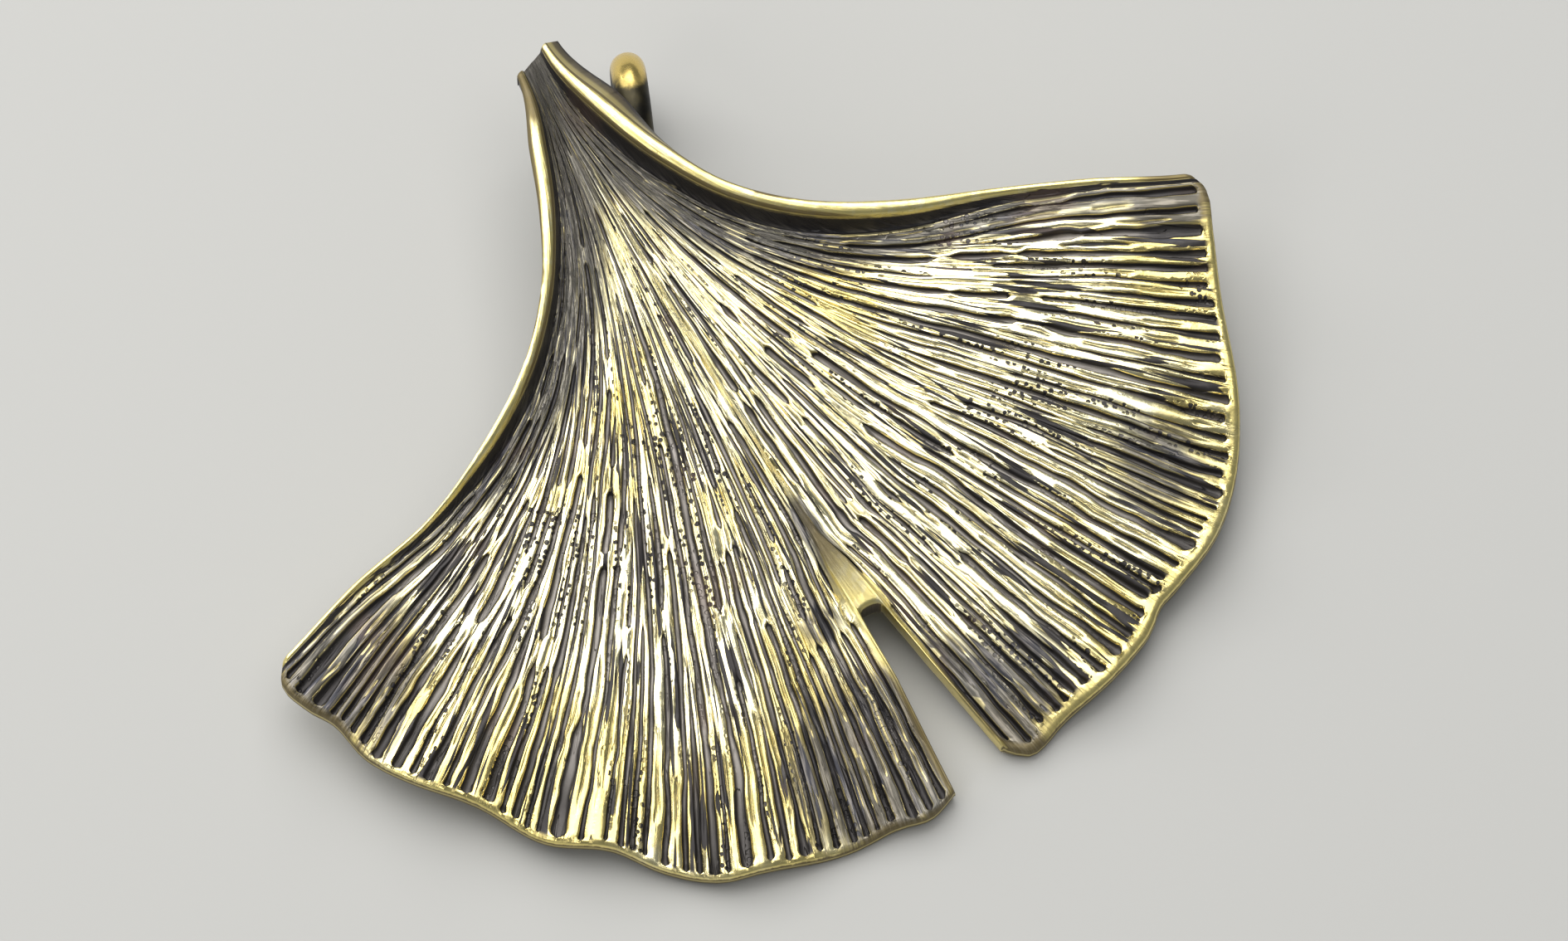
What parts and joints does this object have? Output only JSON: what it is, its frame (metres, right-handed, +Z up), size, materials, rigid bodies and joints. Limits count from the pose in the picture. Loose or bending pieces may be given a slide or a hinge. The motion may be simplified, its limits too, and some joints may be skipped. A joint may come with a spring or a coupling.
{
  "type": "cast brass ginkgo leaf pendant",
  "caption": "Cast brass ginkgo leaf with two fan lobes, fine radial ridges, raised side rims, a hollow stem and a round wire hanging ring.",
  "frame": {"origin": "middle of the bounding box in plan, at the surface that the pendant lies on", "axes": "+X from the left lobe to the right lobe, +Y towards the stem, +Z up from the surface, out of the ridged face"},
  "size_m": [0.0606, 0.0494, 0.0105],
  "materials": {
    "leaf_brass": "cast, blackened in the grooves, polished on the ridges and rims",
    "ring_brass": "darkened, polished at its outer end"
  },
  "bodies": {
    "root": {"leaf": "leaf_brass", "hanging_ring": "ring_brass"}
  },
  "joints": []
}
